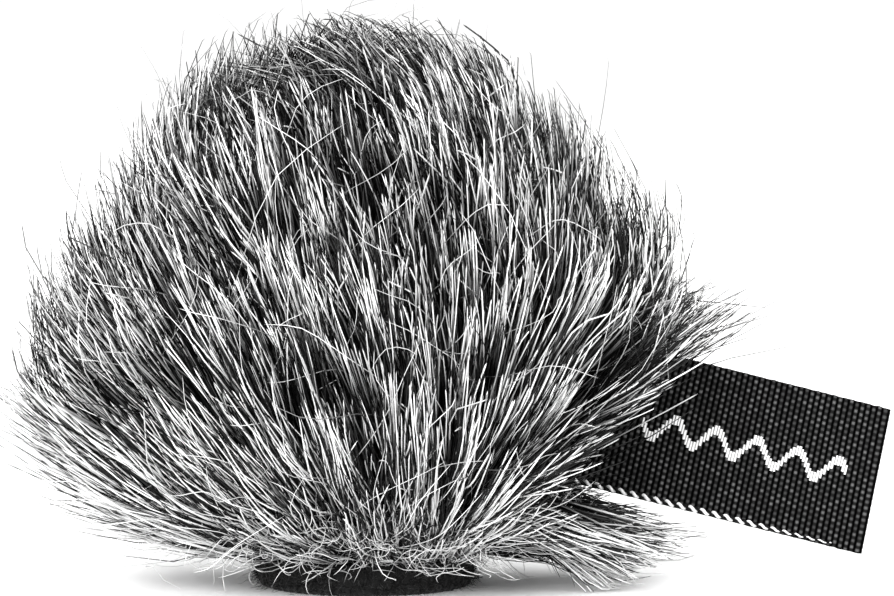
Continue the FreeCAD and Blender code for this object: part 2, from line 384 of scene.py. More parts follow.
def makeGrain():
    group, inside, out = newGroup(
        "fineGrain",
        [("Vector", "Vector", None), ("Color", "Color", grey(0.2)), ("Size", "Float", 4000.0),
         ("Change", "Float", 0.25), ("Rough", "Float", 0.4)],
        [("Color", "Color"), ("Roughness", "Float"), ("Height", "Float")])
    given = inside.outputs

    def calc(*values):
        return mathNode(group, *values)

    fine = addNode(group, "ShaderNodeTexNoise", None,
                   {"Vector": given["Vector"], "Scale": given["Size"], "Detail": 4.0})
    slow = calc("MULTIPLY", given["Size"], 0.13)
    wide = addNode(group, "ShaderNodeTexNoise", None,
                   {"Vector": given["Vector"], "Scale": slow, "Detail": 3.0})
    change = calc("SUBTRACT", wide.outputs[0], 0.5)
    change = calc("MULTIPLY", change, given["Change"])
    colour = addNode(group, "ShaderNodeVectorMath", {"operation": "SCALE"},
                     {0: given["Color"], 3: calc("ADD", change, 1.0)})
    group.links.new(colour.outputs[0], out.inputs["Color"])
    rough = calc("MULTIPLY_ADD", fine.outputs[0], 0.2, given["Rough"])
    group.links.new(calc("SUBTRACT", rough, 0.1), out.inputs["Roughness"])
    group.links.new(fine.outputs[0], out.inputs["Height"])
    return group


hairShade = makeHairShade()
fineGrain = makeGrain()


def shadeBy(tree, shader, group, inputs):
    shade = addNode(tree, "ShaderNodeGroup", {"node_tree": group}, inputs)
    tree.links.new(shade.outputs["Color"], shader.inputs["Base Color"])
    tree.links.new(shade.outputs["Roughness"], shader.inputs["Roughness"])
    return shade


def hairMaterial(name, root, middle, tip, variation, shift, specular):
    material, tree, shader = newMaterial(name, {gloss: specular})
    uv = addNode(tree, "ShaderNodeUVMap", {"uv_map": "OFBake"}).outputs[0]
    shadeBy(tree, shader, hairShade, {"UV": uv, "Root": grey(root), "Middle": grey(middle), "Tip": grey(tip),
                                      "Variation": variation, "Shift": shift})
    return material


def grainMaterial(name, colour, values=None, size=4000.0, change=0.25, rough=0.4, bump=0.00002):
    material, tree, shader = newMaterial(name, values)
    place = addNode(tree, "ShaderNodeTexCoord").outputs["Object"]
    grain = shadeBy(tree, shader, fineGrain, {"Vector": place, "Color": colour, "Size": size,
                                              "Change": change, "Rough": rough})
    addBump(tree, shader, bump, grain.outputs["Height"])
    return material


# root, middle and tip, how much hairs differ, how far the shade shifts, gloss
guardFur = hairMaterial("guardFur", 0.004, 0.26, 0.97, 0.98, 0.5, 0.35)
underFur = hairMaterial("underFur", 0.0006, 0.0035, 0.036, 0.95, 0.6, 0.03)
strayFur = hairMaterial("strayFur", 0.03, 0.4, 0.9, 0.8, 0.4, 0.35)
bandFluff = hairMaterial("bandFluff", 0.002, 0.014, 0.07, 0.9, 0.4, 0.1)
furMass = grainMaterial("furMass", grey(0.0013), {gloss: 0.02}, 1500.0, 0.8, 0.8, 0.0002)
ribKnit = grainMaterial("ribKnit", grey(0.009), {gloss: 0.1, "Sheen Weight": 0.12}, 6000.0, 1.4,
                        0.75, 0.00006)
knitBacking = grainMaterial("knitBacking", grey(0.035), {gloss: 0.2}, 2500.0, 0.5, 0.8, 0.0001)
print("materials for the fur are made")


# knit backing and underwool
backing = {"steps": 96, "points": 40, "gap": 0.03 * mm, "overBand": 0.2 * mm}
wool = {"steps": 260, "points": 90, "innerPoints": 30, "innerShare": 0.02, "clear": 0.12 * mm,
        "lump": 0.55 * mm, "lumpSize": 1.5 * mm, "sunk": 0.6, "fine": 0.22 * mm, "fineSize": 0.5 * mm,
        "smoothRim": (0.2 * mm, 1.2 * mm), "overWaist": 2 * mm, "skin": 0.97}
slot = {"room": 0.5 * mm, "turn": 0.08, "depth": 0.05, "least": 0.9}  # left open for the label to swing in


def makeBacking():
    inner = eggCurve(foamEgg, bandRadius, backing["points"])
    outer = eggCurve(backingEgg, bandRadius, backing["points"])
    inner = [(x, z + backing["gap"]) for x, z in inner if z > bandHigh.z + backing["overBand"]]
    outer = [(x, z) for x, z in outer if z > bandHigh.z + backing["overBand"]]
    whole = spunPiece("backing", outer + inner[::-1], backing["steps"])
    return [smooth(paint(h, knitBacking)) for h in twoHalves(whole, ("backing_front", "backing_back"))]


def makeUnderwool():
    radius = bandRadius + wool["clear"]
    outer = eggCurve(rootEgg, radius, wool["points"])
    inner = eggCurve(between(backingEgg, rootEgg, wool["innerShare"]), radius, wool["innerPoints"])
    whole = spunPiece("underwool", outer + inner[::-1], wool["steps"])
    places = vertexArray(whole)
    around, level = flatRadius(places), levelIn(rootEgg, places)
    top = level > wool["skin"]
    out = unit(places - np.array([0, 0, waist]))
    lump = wool["lump"] * (noiseAt(places, wool["lumpSize"], 1) - wool["sunk"])
    lump = lump + wool["fine"] * noiseAt(places, wool["fineSize"], 2)
    away = softStep(around, radius + wool["smoothRim"][0], radius + wool["smoothRim"][1])
    away = np.maximum(away, softStep(places[:, 2], waist, waist + wool["overWaist"]))
    places = places + out * (lump * top * away)[:, None]
    u, y, v = labelFrame(places)
    inSlot = top & (u > -slot["room"]) & (np.abs(v) < tab["half"] + slot["room"])
    inSlot &= np.abs(y) < sweptBy(u, slot)
    deep = between(backingEgg, rootEgg, slot["depth"])
    squeeze = deep["radius"] / rootEgg["radius"]
    places[inSlot, :2] *= squeeze / np.maximum(level[inSlot], slot["least"])[:, None]
    putVertices(whole, places)
    halves = twoHalves(whole, ("underwool_front", "underwool_back"))
    return [smooth(paint(h, furMass), 60) for h in halves]


backingPieces = makeBacking()
underwoolPieces = makeUnderwool()
for half, panel in zip(backingPieces, ("fur_panel_front", "fur_panel_back")):
    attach(half, "windscreen")
    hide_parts(panel)
for half in underwoolPieces:
    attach(half, "windscreen")
print("backing and underwool are made")


# hairs
napCentre = np.array([4.0, -1.0, -22.0]) * mm  # the pile is brushed away from here
whorl = unit(np.array([-2.5, -3.0, 14.0]))
whorlTurn = {"angle": 70, "within": (40, 8)}  # degrees
napTurns = [  # degrees that the nap leans to the left, and where
    (5,),
    (15, ("x", 1, -8)),
    (42, ("x", -2, -11), ("z", 9, 3)),  # fans out at the lower left
    (-34, ("x", 3, 9), ("z", 6, 2, 7.5)),  # towards the label
    (-85, ("x", 3, 9), ("z", 7.5, 4.5)),  # and under it
    (10, ("x", 4, 9), ("z", 14, 20)),
]


def turnAbout(v, axis, angle):
    c, s = np.cos(angle)[:, None], np.sin(angle)[:, None]
    return v * c + np.cross(axis, v) * s + axis * np.sum(axis * v, 1, keepdims=True) * (1 - c)


def flattenTo(v, normal):
    return unit(v - normal * np.sum(v * normal, 1, keepdims=True))


def napOf(place, normal):
    nap = flattenTo(unit(place - napCentre), normal)
    turn = patches(place, napTurns) * np.clip(-normal[:, 1] * 2.2, -1, 1)  # the back is its mirror image
    near = np.degrees(np.arccos(np.clip(normal @ whorl, -1, 1)))
    turn = turn + whorlTurn["angle"] * softStep(near, *whorlTurn["within"])
    return turnAbout(nap, normal, np.radians(turn))


def tubeMesh(name, paths, radii, strip, first=None, sides=3):
    count, rings, _ = paths.shape
    along = unit(np.gradient(paths, axis=1))
    start = unit(np.cross(along[:, :1], np.array([0.31, 0.17, 0.93])))
    across = unit(start - along * np.sum(start * along, 2, keepdims=True))
    other = np.cross(along, across)
    turn = np.arange(sides) * fullTurn / sides
    ring = across[:, :, None] * np.cos(turn)[None, None, :, None]
    ring = ring + other[:, :, None] * np.sin(turn)[None, None, :, None]
    body = paths[:, :-1, None] + ring[:, :-1] * radii[:, :-1, None, None]
    perHair = (rings - 1) * sides + 1
    points = np.concatenate([body.reshape(count, -1, 3), paths[:, -1:]], 1)

    quads = []
    for r in range(rings - 2):
        for k in range(sides):
            a, b = r * sides + k, r * sides + (k + 1) % sides
            quads.append([a, b, b + sides, a + sides])
    quads = np.array(quads, int).reshape(-1, 4)
    tip, last = perHair - 1, (rings - 2) * sides
    tris = [[last + k, last + (k + 1) % sides, tip] for k in range(sides)]
    tris += [[0, sides - 1 - k, sides - 2 - k] for k in range(sides - 2)]
    tris = np.array(tris, int)
    offset = (np.arange(count) * perHair)[:, None, None]
    loops = np.concatenate([(quads[None] + offset).reshape(-1), (tris[None] + offset).reshape(-1)])
    sizes = np.concatenate([np.full(count * len(quads), 4), np.full(count * len(tris), 3)])

    mesh = bpy.data.meshes.new(name)
    mesh.vertices.add(count * perHair)
    mesh.vertices.foreach_set("co", points.ravel())
    mesh.loops.add(len(loops))
    mesh.loops.foreach_set("vertex_index", loops.astype(np.int32))
    mesh.polygons.add(len(sizes))
    mesh.polygons.foreach_set("loop_start", (np.cumsum(sizes) - sizes).astype(np.int32))
    mesh.update(calc_edges=True)
    mesh.polygons.foreach_set("use_smooth", np.ones(len(sizes), bool))

    u = np.tile(0.2 + 0.6 * np.arange(sides) / (sides - 1), rings - 1)[None] + strip[:, None]
    u = np.concatenate([u, strip[:, None] + 0.5], 1) / shadeStrips
    v = np.append(np.repeat(np.linspace(0.01, 0.99, rings)[:-1], sides), 0.99)[None]
    first = (np.zeros(count) if first is None else first)[:, None]  # where on the shade a hair starts
    v = first + (1 - first) * v
    uv = np.stack([u, v], -1).reshape(-1, 2)[loops]
    mesh.uv_layers.new(name="OFBake").data.foreach_set("uv", uv.ravel())
    obj = bpy.data.objects.new(name, mesh)
    bpy.context.scene.collection.objects.link(obj)
    return obj


locks = {"count": 620, "jitter": 0.05, "lift": 18.0, "liftSpread": 6.0, "lean": 9.0, "length": 6.4,
         "lengthSpread": 0.12, "row": 0.6, "upward": 0.5, "fan": 5, "fanSpread": 13, "toneSpread": 0.16,
         "pull": (-0.3, 1.0), "gather": (-0.1, 0.55), "seed": 11}
tiers = {"pitch": 3.0 * mm, "waveSize": 5.0 * mm, "wave": 1.1, "share": 0.85}  # roots stand in rows
crown = {"within": (0.75, 0.97), "lift": -0.35, "length": -0.08, "thinWithin": (0.85, 0.97), "thin": -0.4}
lowPile = {"lift": -0.85, "length": -0.25}  # hairs lie closer where the ball turns under
lowCorner = (("x", 5, 8), ("z", 6.5, 4.5))
raised = [  # degrees of lift, share of length, and where
    (42, 0.95, ("x", 7, 9.5), ("z", 3.6, 1.8, 10), ("y", 9, 6.5, 0)),
    (46, 0.35, *lowCorner),
    (13, 0.38, ("x", -6, -10), ("z", 12, 7.5)),
    (8, 0.35, ("x", -3, -7), ("z", 6, 3.5)),
]
tonesAndPaintedLight = [  # darker where it is positive: painted shade on the crown, painted light low down
    (0.55, ("z", 18.5, 22.5), ("x", 7, 4, -1.5)),  # crown, painted shade where its hairs lie flat and away from the light
    (0.16, ("z", 6, 3, 18), ("x", 7, 4, -2)),
    (0.36, ("x", 3, 7), ("z", 13, 17)),
    (0.1, ("x", -4, -10)),
    # painted light: lighter low down, for light bounced up from the floor
    (-0.22, ("z", 8, 3)),
]
tufts = [  # how far the tips stand out past the ball, as a share of its radius
    (0.45, ("x", 10, 13), ("z", 3.6, 2, 12)),
    (-0.09, ("x", 8, 11), ("z", 3, 1.5, 19)),
    (0.24, ("x", -8, -11), ("z", 7, 4, 5)),
    (0.05, ("x", -1, -6), ("z", 13, 16)),
    (0.3, ("x", 7, 10), ("z", 5.5, 3.5)),
]
pileTop = {"limit": 0.985, "keep": 0.2, "keepLess": 0.1, "heights": (20 * mm, 26 * mm)}
room = {"floor": 0.12 * mm, "band": 0.15 * mm, "press": 0.05}  # what the hairs keep clear of
hairKinds = {  # of guard hairs, underfur and strays
    "count": (11200, 45000, 1300), "rings": (8, 5, 12), "radius": (0.043, 0.029, 0.022),
    "length": (0.84, 0.68, 0.95), "lengthSpread": (0.17, 0.25, 0.25), "lean": (9.0, 14.0, 45.0),
    "liftMore": (4.0, 0.0, 4.0), "liftSpread": (6.0, 8.0, 14.0), "follow": (0.75, 0.6, 0.2),
    "clump": (0.22, 0.3, 0.0), "bend": (0.05, 0.06, 0.2), "droop": (0.1, 0.15, 0.1),
    "tone": (-0.14, 0.0, -0.1), "kinks": (0.07, 0.1, 0.2), "curl": (0.04, 0.1, 0.4),
    "lowCurl": (3.2, 0.6, 0.0), "curlTurns": (1.3, 1.0, 1.3), "jitter": (0.03, 0.03, 0.05),
    "sunk": (0.7, 0.5, 0.5), "tipShare": (0.9, 0.5, 0.5), "proud": (0.03, 0.02, 0.04),
    "seed": (21, 22, 23),
}
guard, under, stray = ({key: row[i] for key, row in hairKinds.items()} for i in range(3))
hairShape = {"blunt": 0.96, "at": (0, 0.2, 0.8), "thick": (0.6, 1, 0.95), "thickness": (0.7, 1.2),
             "kink": 0.33, "kinkAt": (0.3, 0.8), "curlSize": (0.3, 1.3), "low": (9 * mm, 3.5 * mm)}


def lowFace(normal):
    return softStep(-normal[:, 2], 0.12, 0.75) * (0.35 + 0.65 * np.abs(normal[:, 1]))


def toneOf(place, rng):
    # a random tone, plus painted shade on the crown and painted light low down
    return rng.normal(0, locks["toneSpread"], len(place)) + patches(place, tonesAndPaintedLight)


def toTier(place, normal):
    away = place - napCentre
    phase = np.linalg.norm(away, axis=1) / tiers["pitch"]
    phase = phase + tiers["wave"] * noiseAt(place, tiers["waveSize"], 9)
    slope = np.sqrt(np.maximum(1 - np.sum(unit(away) * normal, 1) ** 2, 0))  # none of it on the crown
    move = (np.floor(phase) + 0.5 - phase) * tiers["pitch"] * tiers["share"] * softStep(slope, 0.3, 0.7)
    return place + flattenTo(unit(away), normal) * move[:, None]


def makeClumps():
    rng = np.random.default_rng(locks["seed"])
    place, normal = scatterRoots(locks["count"], rng, locks["jitter"])
    place = toTier(place, normal)
    n = len(place)
    nap = turnAbout(napOf(place, normal), normal, np.radians(rng.normal(0, locks["lean"], n)))
    lift = np.radians(locks["lift"] + rng.normal(0, locks["liftSpread"], n))
    length = locks["length"] * mm * np.exp(rng.normal(0, locks["lengthSpread"], n))
    lift = lift + np.radians(patches(place, [(up, *limits) for up, more, *limits in raised]))
    length = length * (1 + patches(place, [(more, *limits) for up, more, *limits in raised]))
    top = softStep(normal @ whorl, *crown["within"])
    low = lowFace(normal)
    lift = lift * (1 + crown["lift"] * top) * (1 + lowPile["lift"] * low * (1 - patch(place, *lowCorner)))
    length = length * (1 + crown["length"] * top) * (1 + lowPile["length"] * low)
    return {"place": place, "normal": normal, "nap": nap, "lift": lift, "length": length,
            "pull": rng.uniform(*locks["pull"], n), "gather": rng.uniform(*locks["gather"], n),
            "fan": np.radians(rng.normal(locks["fan"], locks["fanSpread"], n)),
            "tone": toneOf(place, rng)}


def nearestClump(place, clumps, batch=4000):
    found = np.zeros(len(place), int)
    for i in range(0, len(place), batch):
        part = place[i:i + batch]
        found[i:i + batch] = np.argmin(((part[:, None] - clumps["place"][None]) ** 2).sum(-1), 1)
    return found


def hairSteps(rings):
    return np.append(np.linspace(0, hairShape["blunt"], rings - 1), 1.0)[None, :, None]


def hairLines(kind, place, normal, nap, lift, length, bend, s):
    first = nap * np.cos(lift)[:, None] + normal * np.sin(lift)[:, None]
    start = place - first * kind["sunk"] * mm
    droop = (nap * 0.25 - normal * 0.55) * kind["droop"]
    return start[:, None] + length[:, None, None] * (first[:, None] * s + (droop + bend)[:, None] * s ** 2)


def growHairs(kind, clumps):
    rng = np.random.default_rng(kind["seed"])
    place, normal = scatterRoots(kind["count"], rng, kind["jitter"])
    n = len(place)
    c = nearestClump(place, clumps)
    s = hairSteps(kind["rings"])
    share = kind["follow"]
    offset = place - clumps["place"][c]  # roots of one lock stand in a short row across the nap
    back = np.sum(offset * clumps["nap"][c], 1, keepdims=True)
    aside = np.sum(offset * np.cross(clumps["normal"][c], clumps["nap"][c]), 1)
    place = place - clumps["nap"][c] * back * locks["row"] * share
    place = place - offset * clumps["gather"][c][:, None] * share

    nap = turnAbout(napOf(place, normal), normal, np.radians(rng.normal(0, kind["lean"], n)))
    nap = flattenTo(nap * (1 - share) + clumps["nap"][c] * share, normal)
    nap = turnAbout(nap, normal, clumps["fan"][c] * aside / mm * share)
    lift = clumps["lift"][c] * share + np.radians(locks["lift"]) * (1 - share)
    lift = lift + np.radians(rng.normal(kind["liftMore"], kind["liftSpread"], n))
    length = clumps["length"][c] * kind["length"] * np.exp(rng.normal(0, kind["lengthSpread"], n))
    bend = rng.normal(0, kind["bend"], (n, 3))
    bend[:, 2] += locks["upward"] * lowFace(normal) * (1 - patch(place, ("x", 4, 9)))
    own = hairLines(kind, place, normal, nap, lift, length, bend, s)
    middle = hairLines(kind, clumps["place"][c], clumps["normal"][c], clumps["nap"][c], clumps["lift"][c],
                       length, bend, s)
    pull = kind["clump"] * clumps["pull"][c] * rng.uniform(0.5, 1.3, n)
    own = own + (middle - own) * pull[:, None, None] * s ** 1.4

    across = unit(np.cross(normal, nap))[:, None]
    phase = rng.uniform(0, fullTurn, (n, 1, 1))
    wave = kind["curlTurns"] * fullTurn * s
    size = kind["curl"] * mm * rng.uniform(*hairShape["curlSize"], (n, 1, 1)) * s ** 0.7
    low = softStep(place[:, 2], *hairShape["low"])
    size = size * (1 + kind["lowCurl"] * low)[:, None, None]
    own = own + size * (across * np.sin(wave + phase) + normal[:, None] * np.cos(wave * 0.8 + phase))
    thin = np.interp(s[0, :, 0], (*hairShape["at"], 1), (*hairShape["thick"], kind["tipShare"]))
    radii = kind["radius"] * mm * rng.uniform(*hairShape["thickness"], (n, 1)) * thin[None]
    radii = radii * (1 + crown["thin"] * softStep(normal @ whorl, *crown["thinWithin"]))[:, None]
    kinked = rng.normal(0, hairShape["kink"], (n, 3)) * (rng.uniform(0, 1, (n, 1)) < kind["kinks"])
    bent = np.maximum(s - rng.uniform(*hairShape["kinkAt"], (n, 1, 1)), 0)
    own = keepInPile(own + length[:, None, None] * kinked[:, None] * bent, kind["proud"], rng)
    tone = rng.uniform(0, 1, n) + clumps["tone"][c] + kind["tone"]
    return keepClear(own), radii, np.floor(np.clip(tone, 0, 0.999) * shadeStrips).astype(int)


def keepInPile(paths, proud, rng):
    level = levelIn(pileEgg, paths)
    tuft = patches(paths[:, -1], tufts)
    limit = pileTop["limit"] + tuft[:, None] + rng.exponential(proud, (len(paths), 1))
    over = np.maximum(level - limit, 0)
    keep = pileTop["keep"] - pileTop["keepLess"] * softStep(paths[..., 2], *pileTop["heights"])
    share = (np.minimum(level, limit) + over * keep) / np.maximum(level, 1e-6)
    centre = np.array([0, 0, waist])
    return centre + (paths - centre) * share[..., None]


def keepClear(paths):
    z = paths[..., 2]
    lowest = room["floor"]
    paths[..., 2] = np.where(z < lowest, lowest + np.abs(z - lowest) * room["press"], z)
    around = flatRadius(paths)
    near = bandRadius + room["band"]
    beside = (paths[..., 2] < bandHigh.z + mouthGap) & (around < near)
    paths[..., :2] *= np.where(beside, near / np.maximum(around, mm), 1.0)[..., None]
    return paths


reach = {"low": 0.7 * mm, "high": 5.1 * mm, "spread": 0.8 * mm, "side": 12 * mm, "room": 0.9 * mm,
         "turn": 0.05, "short": 0.985, "longer": 3.0 * mm, "past": 0.5 * mm, "least": 0.25,
         "through": (0.1 * mm, 0.38 * mm), "beside": (0.6 * mm, 0.2 * mm)}


def shortenByLabel(paths, rng):
    u, y, v = labelFrame(paths)  # the hairs part round the label and end in a slanting line on it
    slope = (v + tab["half"]) / (2 * tab["half"])
    limit = reach["low"] + (reach["high"] - reach["low"]) * slope
    limit = limit + rng.normal(0, reach["spread"], (len(paths), 1))
    limit = limit + (rng.uniform(0, 1, (len(paths), 1)) > reach["short"]) * reach["longer"]
    near = (y > -reach["side"]) & (y < sweptBy(u, reach))  # long again behind its swing
    over = near & (np.abs(v) < tab["half"] + reach["past"]) & (u > limit)
    along = hairSteps(paths.shape[1])[0, :, 0][None]
    step = along * np.clip((limit - u[:, :1]) / np.maximum(u - u[:, :1], 1e-6), 0.02, 1)
    share = np.where(over, step, 1.0).min(1)
    keep = share > reach["least"]
    paths = paths[:, :1] + (paths - paths[:, :1]) * share[:, None, None]
    return paths[keep], keep


def throughLabel(paths):
    u, y, v = labelFrame(paths)
    beyond, close = reach["through"]
    inside = (np.abs(v) < tab["half"] + beyond) & (u > tab["start"])
    cross = (np.sign(y[:, 1:]) != np.sign(y[:, :-1])) & (inside[:, 1:] | inside[:, :-1])
    return ((np.abs(y) < close) & inside).any(1) | cross.any(1)


def besideLabel(paths):
    u, y, v = labelFrame(paths)
    beyond, start = reach["beside"]
    inside = (np.abs(v) < tab["half"] + beyond) & (u > start)
    return (inside & (np.abs(y) < sweptBy(u, reach))).any(1)


hairPieces = []
labelHairs = []
paintedFloorBounce = {"share": 0.42, "heights": (7 * mm, 3 * mm)}  # painted light: low hairs start further along the shade, lighter, for light bounced up from the floor
curls = {"count": 2100, "rings": 10, "radius": 0.024, "length": 3.0, "lengths": (0.5, 1.4), "curl": 0.36,
         "above": 0.7 * mm, "spread": 0.34, "turns": (0.6, 1.3), "lean": 0.6, "loose": 0.15,
         "rim": 1.65 * mm, "press": 0.25, "at": (0, 0.2, 0.8, 1), "thick": (0.7, 1, 0.9, 0.3), "seed": 31}


def addHairs(name, paths, radii, strip, material):
    # painted light: hairs rooted low start lighter, for light bounced up from the floor
    first = paintedFloorBounce["share"] * softStep(paths[:, 0, 2], *paintedFloorBounce["heights"])
    obj = paint(tubeMesh(name, paths, radii, strip, first), material)
    hairPieces.append(obj)
    return obj


def layHairs(kind, name, material, clumps, parts):
    paths, radii, strip = growHairs(kind, clumps)
    rng = np.random.default_rng(kind["seed"] + 100)
    paths, keep = shortenByLabel(paths, rng)
    radii, strip = radii[keep], strip[keep]
    clear = ~throughLabel(paths)
    paths, radii, strip = paths[clear], radii[clear], strip[clear]
    beside = besideLabel(paths)
    labelHairs.append(addHairs(name + "_label", paths[beside], radii[beside], strip[beside], material))
    rest = ~beside
    angle = np.arctan2(paths[:, 0, 1], paths[:, 0, 0]) % fullTurn
    for i in range(parts):
        here = rest & (angle >= fullTurn * i / parts) & (angle < fullTurn * (i + 1) / parts)
        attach(addHairs(f"{name}_{i + 1}", paths[here], radii[here], strip[here], material), "windscreen")


def layMouthCurls():
    rng = np.random.default_rng(curls["seed"])
    n, lean = curls["count"], curls["lean"]
    azimuth = rng.uniform(0, fullTurn, n)
    low = lowestLat(rootEgg, bandRadius + curls["above"])
    place, normal = onEgg(rootEgg, azimuth, low + rng.uniform(0, 1, n) * curls["spread"])
    aim = unit(outwardAt(azimuth) * lean + rng.normal(0, lean, (n, 3)) + np.array([0, 0, lean]))
    s = np.linspace(0, 1, curls["rings"])[None, :, None]
    length = curls["length"] * mm * rng.uniform(*curls["lengths"], n)
    side = unit(np.cross(aim, normal))
    phase = rng.uniform(0, fullTurn, (n, 1, 1))
    turns = rng.uniform(*curls["turns"], (n, 1, 1)) * fullTurn * s
    size = curls["curl"] * mm * rng.uniform(0.4, 1.4, (n, 1, 1)) * s ** 0.5
    paths = place[:, None] + aim[:, None] * length[:, None, None] * s
    paths = paths + size * (side[:, None] * np.sin(turns + phase) + normal[:, None] * np.cos(turns + phase))
    loose = rng.uniform(0, 1, (n, 1)) < curls["loose"]  # a few hang down over the band
    z, rim = paths[..., 2], curls["rim"]
    paths[..., 2] = np.where(loose | (z > rim), z, rim + (z - rim) * curls["press"])
    thin = np.interp(s[0, :, 0], curls["at"], curls["thick"])
    radii = curls["radius"] * mm * rng.uniform(0.6, 1.2, (n, 1)) * thin[None]
    paths = keepClear(paths)
    clear = ~throughLabel(paths)
    strip = rng.integers(0, shadeStrips, n)[clear]
    obj = addHairs("mouth_curls", paths[clear], radii[clear], strip, strayFur)
    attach(obj, "windscreen")


clumps = makeClumps()
layHairs(guard, "guard_hair", guardFur, clumps, 3)
layHairs(under, "under_hair", underFur, clumps, 6)
layHairs(stray, "stray_hair", strayFur, clumps, 1)
layMouthCurls()
for obj in labelHairs:
    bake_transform(obj)
print("hairs are laid:", sum(len(o.data.polygons) for o in hairPieces), "faces")


# foam
foam = {"steps": 150, "points": 46, "lump": 0.05 * mm, "lumpSize": 0.35 * mm, "gap": 0.02 * mm}


def makeFoamMaterial():
    material, tree, shader = newMaterial("openFoam", {gloss: 0.15})
    place = addNode(tree, "ShaderNodeTexCoord").outputs["Object"]
    cells = addNode(tree, "ShaderNodeTexVoronoi", {"feature": "F1"}, {"Vector": place, "Scale": 3800.0})
    pore = rangeNode(tree, cells.outputs["Distance"], 0.15, 0.6)
    # painted shade: the pore hollows are darker than the cell walls
    colour = mixColour(tree, pore, grey(0.004), grey(0.045))
    tree.links.new(colour, shader.inputs["Base Color"])
    tree.links.new(rangeNode(tree, pore, 0, 1, 0.95, 0.75, "LINEAR"), shader.inputs["Roughness"])
    addBump(tree, shader, 0.0002, pore)
    return material


def makeFoam():
    outer = [p for p in eggCurve(foamEgg, boreRadius, foam["points"]) if p[1] > foamBase + 0.3 * mm]
    outer = [(x - foam["gap"], z - foam["gap"]) if x > 0.1 * mm else (0.0, z - foam["gap"]) for x, z in outer]
    baseRadius = outer[0][0] - 0.25 * mm
    base = np.linspace(boreRadius + 0.1 * mm, baseRadius, 8)
    bore = np.linspace(foamBase + 0.2 * mm, headTop + 0.15 * mm, 26)
    profile = [(float(r), foamBase) for r in base] + outer
    profile += [(float(r), headTop + 0.15 * mm) for r in np.linspace(0, boreRadius, 8)[:-1]]
    profile += [(boreRadius, float(z)) for z in bore[::-1]]
    piece = spunPiece("foam_sleeve", profile, foam["steps"])
    places = vertexArray(piece)
    around = flatRadius(places)
    out = np.stack([places[:, 0], places[:, 1], np.zeros(len(places))], 1) / np.maximum(around, mm)[:, None]
    dip = foam["lump"] * noiseAt(places, foam["lumpSize"], 5)
    dip = np.where(around > boreRadius + 0.3 * mm, -np.abs(dip), np.abs(dip) * 0.6)
    inBore = (around > 0.9 * boreRadius)
    places = places + out * (dip * inBore)[:, None]
    putVertices(piece, places)
    smooth(paint(piece, makeFoamMaterial()), 50)
    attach(piece, "windscreen")
    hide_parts("foam_core")


makeFoam()
print("foam is made")


# knit band round the mouth
band = {"steps": 420, "ribs": 70, "rib": 0.11 * mm, "courses": 15, "inner": 4.32 * mm, "under": 0.13 * mm,
        "top": 0.05 * mm, "edge": 0.45 * mm, "bevel": 0.2 * mm, "base": 0.02 * mm, "outside": 0.35 * mm}
fluff = {"count": 2600, "rings": 6, "radius": 0.014, "height": (0.15, 1.9), "length": (0.25, 0.8),
         "spread": 0.9, "outward": 0.25, "bend": 0.5, "sunk": 0.15 * mm, "least": 0.2 * mm, "seed": 41}


def makeBand():
    inner, outer, high = band["inner"], bandRadius - band["under"], bandHigh.z - band["top"]
    edge, bevel, base = band["edge"], band["bevel"], band["base"]
    quarter = np.linspace(0, math.pi / 2, 6)
    profile = [(inner + edge, base)]
    profile += [(outer - edge + edge * math.sin(a), base + edge - edge * math.cos(a)) for a in quarter]
    profile += [(outer, float(z)) for z in np.linspace(edge, high - bevel, 12)[1:]]
    profile += [(outer - bevel, high), (inner + bevel, high)]
    profile += [(inner, float(z)) for z in np.linspace(high - bevel, edge, 12)]
    profile += [(inner + edge - edge * math.sin(a), base + edge - edge * math.cos(a))
                for a in quarter[-2:0:-1]]
    piece = spunPiece("rib_band", profile, band["steps"])
    places = vertexArray(piece)
    around = flatRadius(places)
    angle = np.arctan2(places[:, 1], places[:, 0])
    middle = (inner + outer) / 2
    centre = np.stack([np.cos(angle) * middle, np.sin(angle) * middle, np.full(len(places), high / 2)], 1)
    out = unit(places - centre)
    course = np.sin(fullTurn * band["courses"] * places[:, 2] / bandHigh.z / 2)
    rib = np.abs(np.cos(band["ribs"] / 2 * angle + 0.5 * course))
    rise = band["rib"] * (rib * (0.75 + 0.25 * course) - 0.35) * (around > middle - band["outside"])
    putVertices(piece, places + out * rise[:, None])
    smooth(paint(piece, ribKnit), 70)
    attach(piece, "windscreen")
    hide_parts("mouth_band")


def makeBandFluff():
    rng = np.random.default_rng(fluff["seed"])
    n, rings = fluff["count"], fluff["rings"]
    angle = rng.uniform(0, fullTurn, n)
    out = outwardAt(angle)
    start = out * (bandRadius - fluff["sunk"])
    start = start + np.array([0, 0, 1.0]) * rng.uniform(*fluff["height"], n)[:, None] * mm
    aim = unit(out + rng.normal(0, fluff["spread"], (n, 3)))
    aim = aim + out * np.maximum(fluff["outward"] - np.sum(aim * out, 1), 0)[:, None]
    s = np.linspace(0, 1, rings)[None, :, None]
    bend = rng.normal(0, fluff["bend"], (n, 1, 3))
    length = rng.uniform(*fluff["length"], n)[:, None, None] * mm
    paths = start[:, None] + length * (aim[:, None] * s + bend * s ** 2)
    paths[..., 2] = np.maximum(paths[..., 2], 0.05 * mm + s[..., 0] * 0.01 * mm)  # clear of the floor
    around, least = flatRadius(paths), bandRadius - fluff["least"]
    paths[..., :2] *= np.where(around < least, least / around, 1)[..., None]
    radii = fluff["radius"] * mm * rng.uniform(0.7, 1.3, (n, 1)) * np.linspace(1, 0.4, rings)[None]
    obj = paint(tubeMesh("band_fluff", paths, radii, rng.integers(0, shadeStrips, n)), bandFluff)
    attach(obj, "windscreen")


makeBand()
makeBandFluff()
print("band is made")


